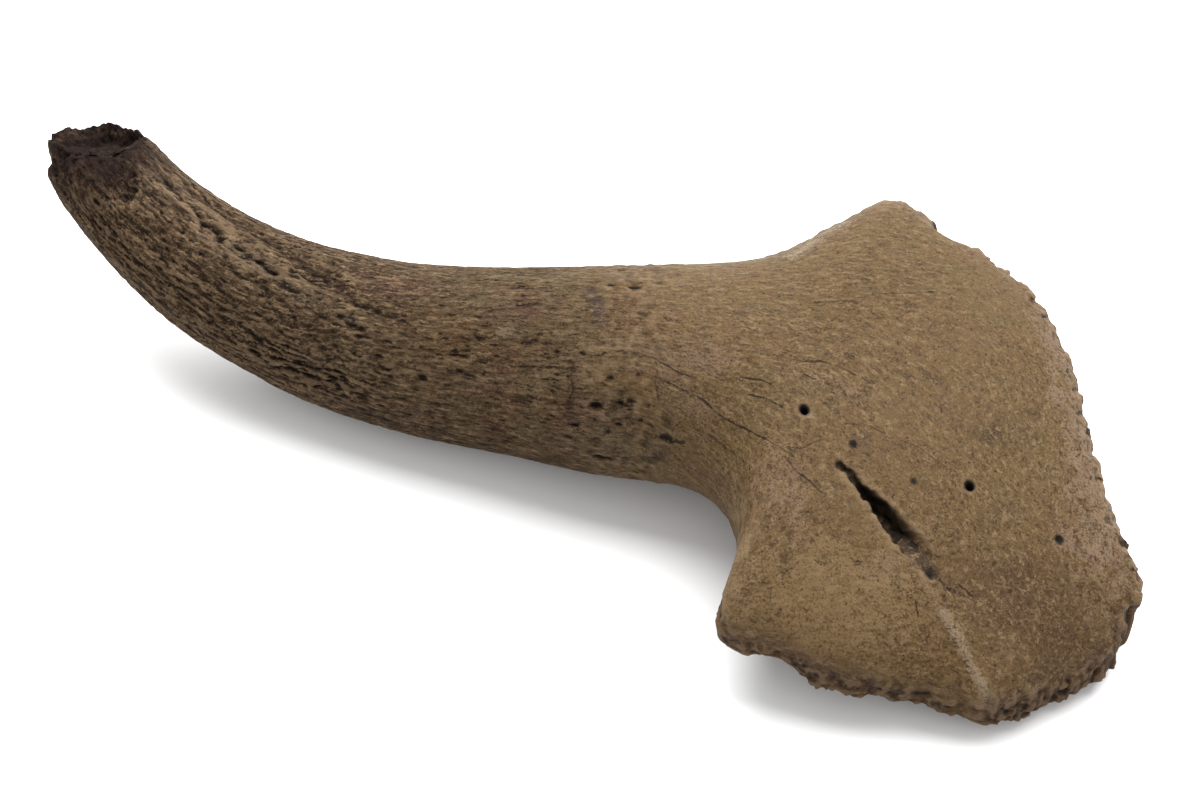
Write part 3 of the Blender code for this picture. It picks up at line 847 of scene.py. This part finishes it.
# The gouges and pits are painted darker where they lie hollow.
put_stain_and_painted_light(DARK, 0.8 * gouged * ramp(hollow, -0.1, 0.3))
# Painted shade: the steep faces of the broken front edge are painted dark, in patches.
shaded_edge = front_edge * ramp(wander, -0.02, 0.12) * ramp(normals[:, 2], 0.35, 0.1)
put_stain_and_painted_light(DARK, 0.75 * shaded_edge)

# What the finish needs to know of each point is kept on the skin: its place on the grain, its stains
# and painted light and shade, and the shares and distances worked out above.
scar = np.maximum(tip, scarred)
spread = outer * ramp(points[:, 0] - 0.5 * points[:, 1], 130, 210)  # the fibres lie further apart
grain_attribute = bone.data.attributes.new("grain", "FLOAT_VECTOR", "POINT")
grain_attribute.data.foreach_set("vector", np.ascontiguousarray(grain * MM, np.float32).reshape(-1))
stain_and_painted_light_attribute = bone.data.attributes.new("stain_and_painted_light", "FLOAT_COLOR", "POINT")
stain_and_painted_light_attribute.data.foreach_set("color", np.ascontiguousarray(stain_and_painted_light, np.float32).reshape(-1))
for name, values in {
    "core": core_stain,
    "hollow": hollow,
    "opened": opened,
    "broken": broken,
    "crack_offset": crack_offset,
    "crack_share": crack_share,
    "in_hole": in_hole,
    "scar": scar * core,
    "spread": spread,
    "worn": worn * core,
}.items():
    attribute = bone.data.attributes.new(name, "FLOAT", "POINT")
    attribute.data.foreach_set("value", np.ascontiguousarray(values, np.float32))

# The underside of the frontal bone, out of sight on the sheet, is thinned to larger faces, which
# keep its relief.
KEPT_FACES = 0.745

resting = ramp(normals[:, 2], 0.0, -0.2) * ramp(points[:, 0], 45, 60)
near_front = ramp(points[:, 1], -120, -135) * ramp(normals[:, 2], -0.6, -0.3)
resting *= 1 - near_front
apply_where(bone, resting, "DECIMATE", ratio=KEPT_FACES)
points = points_of(bone)
points[:, 2] = np.maximum(points[:, 2], OVER_SHEET)
put_points(bone, points)


# The bone's finish: a tan, slightly polished outer table, and a dark, matt, fibrous horn core. The
# two grow into each other past the burr.
class Finish:
    """A material under construction: add() makes a node and links what it is given."""

    def __init__(self, name):
        self.material = bpy.data.materials.new(name)
        self.material.use_nodes = True
        self.nodes = self.material.node_tree.nodes
        self.shader = self.nodes["Principled BSDF"]

    def link(self, source, target):
        self.material.node_tree.links.new(source, target)

    def add(self, kind, inputs=None, output=0, **settings):
        node = self.nodes.new(kind)
        for name, value in settings.items():
            setattr(node, name, value)
        for name, value in (inputs or {}).items():
            if isinstance(value, bpy.types.NodeSocket):
                self.link(value, node.inputs[name])
            else:
                node.inputs[name].default_value = value
        return node.outputs[output]

    def share(self, name):
        return self.add("ShaderNodeAttribute", output="Fac", attribute_name=name)

    def math(self, operation, first, second=0.0):
        return self.add("ShaderNodeMath", {0: first, 1: second}, operation=operation)

    def times(self, *values):
        product = values[0]
        for value in values[1:]:
            product = self.math("MULTIPLY", product, value)
        return product

    def plus(self, *values):
        total = values[0]
        for value in values[1:]:
            total = self.math("ADD", total, value)
        return total

    def band(self, value, low, high, to_low=0.0, to_high=1.0):
        """The value mapped smoothly from low..high to to_low..to_high."""
        ends = {"From Min": low, "From Max": high, "To Min": to_low, "To Max": to_high}
        return self.add(
            "ShaderNodeMapRange", {"Value": value, **ends}, interpolation_type="SMOOTHSTEP"
        )

    def lumps(self, vector, scale, detail=3.0, roughness=0.5):
        return self.add(
            "ShaderNodeTexNoise",
            {"Vector": vector, "Scale": scale, "Detail": detail, "Roughness": roughness},
        )

    def spots(self, vector, scale, size, soft):
        """1 in scattered spots, 0 between them."""
        field = self.add("ShaderNodeTexVoronoi", {"Vector": vector, "Scale": scale})
        return self.band(field, size + soft, size - soft)

    def mixed(self, share, first, second):
        """The first colour going over to the second by the share."""
        node = self.nodes.new("ShaderNodeMix")
        node.data_type = "RGBA"
        node.clamp_factor = True
        sockets = (node.inputs[0], node.inputs[6], node.inputs[7])  # of the share and the colours
        for socket, value in zip(sockets, (share, first, second)):
            if isinstance(value, bpy.types.NodeSocket):
                self.link(value, socket)
            elif isinstance(value, tuple):
                socket.default_value = (*value, 1)
            else:
                socket.default_value = value
        return node.outputs[2]


TAN = (0.0715, 0.0410, 0.0155)
TAN_OLIVE = (0.0680, 0.0425, 0.0160)
TAN_PINK = (0.0820, 0.0490, 0.0240)
TAN_LIGHT = (0.1320, 0.0860, 0.0440)
TAN_DARK = (0.0300, 0.0160, 0.0065)
CORE_BROWN = (0.0500, 0.0290, 0.0130)
CORE_GREY = (0.0560, 0.0385, 0.0190)
CORE_RED = (0.0580, 0.0270, 0.0150)
CORE_LIGHT = (0.1500, 0.1000, 0.0580)
CORE_DARK = (0.0060, 0.0035, 0.0020)
CRACK_BROWN = (0.0080, 0.0045, 0.0025)
PORE_BROWN = (0.0150, 0.0075, 0.0032)
# Near-black brown for hollows, open spongy bone and pores, and for painted shade inside the holes.
NEAR_BLACK = (0.0030, 0.0020, 0.0014)
FINE_RELIEF = 0.7 * MM
FIBRE_SHAKE = 2.0 * MM  # how far fibres stray
CRACK_WAVER = 1.8 * MM
CRACK_NARROW = 0.08 * MM
CRACK_WIDE = 0.52 * MM
CRACK_EDGE = 0.16 * MM
TABLE_SHINE = 0.085
CORE_SHINE = 0.05


def bone_finish(name):
    """The whole bone's material: table and core, mixed by the skin's own shares."""
    finish = Finish(name)
    place = finish.add("ShaderNodeTexCoord", output="Object")
    grain_place = finish.add("ShaderNodeAttribute", output="Vector", attribute_name="grain")
    shake = {"Vector": place, "Scale": 380.0, "Detail": 1.0}
    shaken = finish.add("ShaderNodeTexNoise", shake, output="Color")
    shaken = finish.add(
        "ShaderNodeVectorMath", {0: shaken, 1: (0.5, 0.5, 0.5)}, operation="SUBTRACT"
    )
    shaken = finish.add("ShaderNodeVectorMath", {0: shaken, "Scale": FIBRE_SHAKE}, operation="SCALE")
    shaken = finish.add("ShaderNodeVectorMath", {0: grain_place, 1: shaken}, operation="ADD")

    def stretched(by):
        """The place on the grain, drawn out along the fibres."""
        return finish.add("ShaderNodeMapping", {"Vector": shaken, "Scale": (by, 1, 1)})

    mottle = finish.lumps(place, 26, 4, 0.6)
    cloud = finish.lumps(place, 115, 3, 0.65)
    speck = finish.lumps(place, 850, 2, 0.7)
    long_fibre = finish.lumps(stretched(0.09), 300, 3, 0.65)
    stain_and_painted_light = finish.add("ShaderNodeAttribute", attribute_name="stain_and_painted_light")
    stain_and_painted_light_share = finish.add("ShaderNodeAttribute", output="Alpha", attribute_name="stain_and_painted_light")
    stain_and_painted_light_edge = finish.plus(
        stain_and_painted_light_share,
        finish.times(finish.plus(cloud, long_fibre, -1.0), 1.2),
        finish.times(finish.plus(speck, -0.5), 2.0),
    )
    stain_and_painted_light_share = finish.times(
        finish.band(stain_and_painted_light_edge, 0.08, 0.72), finish.band(stain_and_painted_light_share, 0.02, 0.25)
    )
    hollow = finish.share("hollow")
    broken = finish.share("broken")
    not_scar = finish.math("SUBTRACT", 1.0, finish.times(finish.share("scar"), 0.95))

    # Cracks: the listed ones, and hairlines along the grain.
    waver = finish.times(finish.plus(finish.lumps(place, 420, 3, 0.6), -0.5), CRACK_WAVER)
    crack_offset = finish.times(finish.share("crack_offset"), MM)
    crack_near = finish.math("ABSOLUTE", finish.plus(crack_offset, waver))
    crack_width = finish.band(cloud, 0.36, 0.62, CRACK_NARROW, CRACK_WIDE)
    crack = finish.math("SUBTRACT", crack_width, crack_near)
    crack = finish.band(crack, -CRACK_EDGE, CRACK_EDGE)
    crack_strength = finish.band(mottle, 0.62, 0.40, 0.35, 1.0)
    crack = finish.times(crack, finish.share("crack_share"), crack_strength)

    def weathered_and_shaded(colour):
        """The colour broken open, hollowed, rubbed and cracked like the rest of the bone; holes get
        painted shade.
        """
        broken_colour = finish.mixed(finish.band(cloud, 0.35, 0.65), RUST, TAN_DARK)
        broken_colour = finish.mixed(finish.band(speck, 0.48, 0.36), broken_colour, CORE_DARK)
        colour = finish.mixed(finish.times(broken, 0.75), colour, broken_colour)
        pale = finish.times(finish.band(hollow, -0.04, -0.35, 0, 0.35), not_scar)
        colour = finish.mixed(pale, colour, CORE_LIGHT)
        colour = finish.mixed(finish.band(hollow, 0.05, 0.60, 0, 0.80), colour, NEAR_BLACK)
        colour = finish.mixed(finish.times(finish.share("opened"), 0.75), colour, NEAR_BLACK)
        colour = finish.mixed(finish.times(crack, 0.85), colour, CRACK_BROWN)
        # Painted shade: the holes and the open end of the groove are painted near-black inside.
        return finish.mixed(finish.share("in_hole"), colour, NEAR_BLACK)

    def shaded(colour, height, strength, gloss, shine):
        """A shader of the colour, with relief too fine for the mesh."""
        shader = finish.nodes.new("ShaderNodeBsdfPrincipled")
        relief = {"Strength": strength, "Distance": FINE_RELIEF, "Height": height}
        bump = finish.add("ShaderNodeBump", relief, output="Normal")
        finish.link(colour, shader.inputs["Base Color"])
        finish.link(bump, shader.inputs["Normal"])
        finish.link(finish.plus(gloss, finish.times(broken, 0.2)), shader.inputs["Roughness"])
        shader.inputs["Specular IOR Level"].default_value = shine
        return shader.outputs[0]

    # Outer table: mottled tan with short fine streaks along the grain, and small dark pores.
    streak = finish.lumps(stretched(0.20), 850, 3, 0.75)
    far_place = finish.add("ShaderNodeMapping", {"Vector": shaken, "Scale": (0.35, 2.1, 1)})
    tooth = finish.mixed(finish.share("spread"), streak, finish.lumps(far_place, 800, 3, 0.75))
    tan = finish.mixed(finish.band(mottle, 0.40, 0.60), TAN_OLIVE, TAN)
    tan = finish.mixed(finish.band(cloud, 0.50, 0.68, 0, 0.6), tan, TAN_PINK)
    tan = finish.mixed(finish.band(cloud, 0.48, 0.30, 0, 0.25), tan, TAN_DARK)
    tan = finish.mixed(stain_and_painted_light_share, tan, stain_and_painted_light)
    tan = finish.mixed(finish.band(tooth, 0.50, 0.67, 0, 0.85), tan, TAN_LIGHT)
    tan = finish.mixed(finish.band(tooth, 0.49, 0.32, 0, 1.00), tan, TAN_DARK)
    tan = finish.mixed(finish.band(speck, 0.54, 0.70, 0, 0.45), tan, TAN_LIGHT)
    tan = finish.mixed(finish.band(speck, 0.43, 0.29, 0, 0.75), tan, CORE_DARK)
    table_pores = finish.spots(stretched(0.35), 640, 0.15, 0.06)
    table_pores = finish.times(table_pores, finish.band(cloud, 0.60, 0.44))
    tan = finish.mixed(finish.times(table_pores, 0.80), tan, PORE_BROWN)
    hairline = finish.plus(finish.lumps(stretched(0.07), 230, 1, 0.5), -0.5)
    hairline = finish.math("ABSOLUTE", hairline)
    hairline = finish.times(finish.band(hairline, 0.012, 0.003), finish.band(mottle, 0.50, 0.60))
    tan = finish.mixed(finish.times(hairline, 0.55), tan, CRACK_BROWN)
    table_height = finish.plus(
        finish.times(tooth, 0.8), finish.times(speck, 0.5), finish.times(crack, -0.9)
    )
    table_gloss = finish.band(cloud, 0.3, 0.7, 0.50, 0.72)
    table = shaded(weathered_and_shaded(tan), table_height, 0.8, table_gloss, TABLE_SHINE)

    # Horn core: fibrous brown, lighter on crests, dark in grooves and in drawn-out pores.
    patchy = finish.lumps(place, 36, 3, 0.6)
    fibre = finish.lumps(stretched(0.22), 640, 4, 0.80)
    core_colour = finish.mixed(finish.band(patchy, 0.38, 0.62), CORE_BROWN, CORE_GREY)
    core_colour = finish.mixed(finish.band(mottle, 0.50, 0.64, 0, 0.7), core_colour, CORE_RED)
    core_colour = finish.mixed(stain_and_painted_light_share, core_colour, stain_and_painted_light)
    pale_share = finish.plus(0.62, finish.times(finish.share("worn"), 0.28))
    light_fibre = finish.plus(
        finish.band(fibre, 0.50, 0.66), finish.band(long_fibre, 0.53, 0.74, 0, 0.6)
    )
    light_fibre = finish.times(light_fibre, pale_share, not_scar)
    core_colour = finish.mixed(light_fibre, core_colour, CORE_LIGHT)
    core_colour = finish.mixed(finish.band(long_fibre, 0.48, 0.30, 0, 0.85), core_colour, CORE_DARK)
    core_colour = finish.mixed(finish.band(fibre, 0.49, 0.32, 0, 1.0), core_colour, CORE_DARK)
    light_speck = finish.times(finish.band(speck, 0.56, 0.70, 0, 0.35), not_scar)
    core_colour = finish.mixed(light_speck, core_colour, CORE_LIGHT)
    core_colour = finish.mixed(finish.band(speck, 0.43, 0.30, 0, 0.60), core_colour, CORE_DARK)
    dense_pores = finish.spots(stretched(0.24), 400, 0.21, 0.09)
    rare_pores = finish.spots(stretched(0.36), 220, 0.15, 0.07)
    core_pores = finish.plus(
        finish.times(dense_pores, finish.band(patchy, 0.60, 0.42, 0.40, 0.95)),
        finish.times(rare_pores, finish.band(cloud, 0.56, 0.44)),
    )
    core_colour = finish.mixed(finish.times(core_pores, 0.92), core_colour, NEAR_BLACK)
    core_height = finish.plus(
        finish.times(fibre, 1.7),
        finish.times(long_fibre, 1.8),
        finish.times(dense_pores, -1.2),
        finish.times(speck, 0.3),
    )
    core_gloss = finish.band(cloud, 0.3, 0.7, 0.66, 0.86)
    core = shaded(weathered_and_shaded(core_colour), core_height, 0.85, core_gloss, CORE_SHINE)

    # Where the core's colour ends, it ends fibre by fibre.
    core_share = finish.plus(
        finish.share("core"),
        finish.times(finish.plus(long_fibre, -0.5), 1.7),
        finish.times(finish.plus(cloud, -0.5), 0.9),
        finish.times(finish.plus(mottle, -0.5), 1.0),
    )
    joined = finish.nodes.new("ShaderNodeMixShader")
    finish.link(finish.band(core_share, 0.25, 0.80), joined.inputs[0])
    finish.link(table, joined.inputs[1])
    finish.link(core, joined.inputs[2])
    finish.link(joined.outputs[0], finish.nodes["Material Output"].inputs["Surface"])
    finish.nodes.remove(finish.shader)
    return finish.material


# Horn core and frontal bone, which are one bone in life: the one skin is parted at the burr, and
# each half is closed there.
BURR_PLANE = Vector((34, 16, 0)) * MM + BONE_ORIGIN
BURR_WAY = (1, 0.05, 0)
CUT_REACH = 0.001 * MM
SOFT_EDGE = math.radians(75)


def half_of_bone(name, keep_past):
    """Copy of the bone on one side of the burr, closed across it."""
    bpy.ops.object.select_all(action="DESELECT")
    bone.select_set(True)
    bpy.context.view_layer.objects.active = bone
    bpy.ops.object.duplicate()
    half = bpy.context.object
    half.name = name
    half.data.name = name
    bpy.ops.object.mode_set(mode="EDIT")
    bpy.ops.mesh.select_all(action="SELECT")
    bpy.ops.mesh.bisect(
        plane_co=BURR_PLANE,
        plane_no=BURR_WAY,
        use_fill=True,
        clear_inner=keep_past,
        clear_outer=not keep_past,
        threshold=CUT_REACH,
    )
    bpy.ops.object.mode_set(mode="OBJECT")
    bpy.ops.object.shade_smooth_by_angle(angle=SOFT_EDGE)
    return half


horn_core = half_of_bone("horn_core_bone", False)
horn_core.data.materials.append(bone_finish("horn core bone"))
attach(horn_core, "root")
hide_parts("horn_core")

frontal = half_of_bone("frontal_bone", True)
frontal.data.materials.append(bone_finish("frontal bone"))
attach(frontal, "root")
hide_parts("pedicle", "frontal_plate", "orbital_rim", "nuchal_crest")

bpy.data.objects.remove(bone)
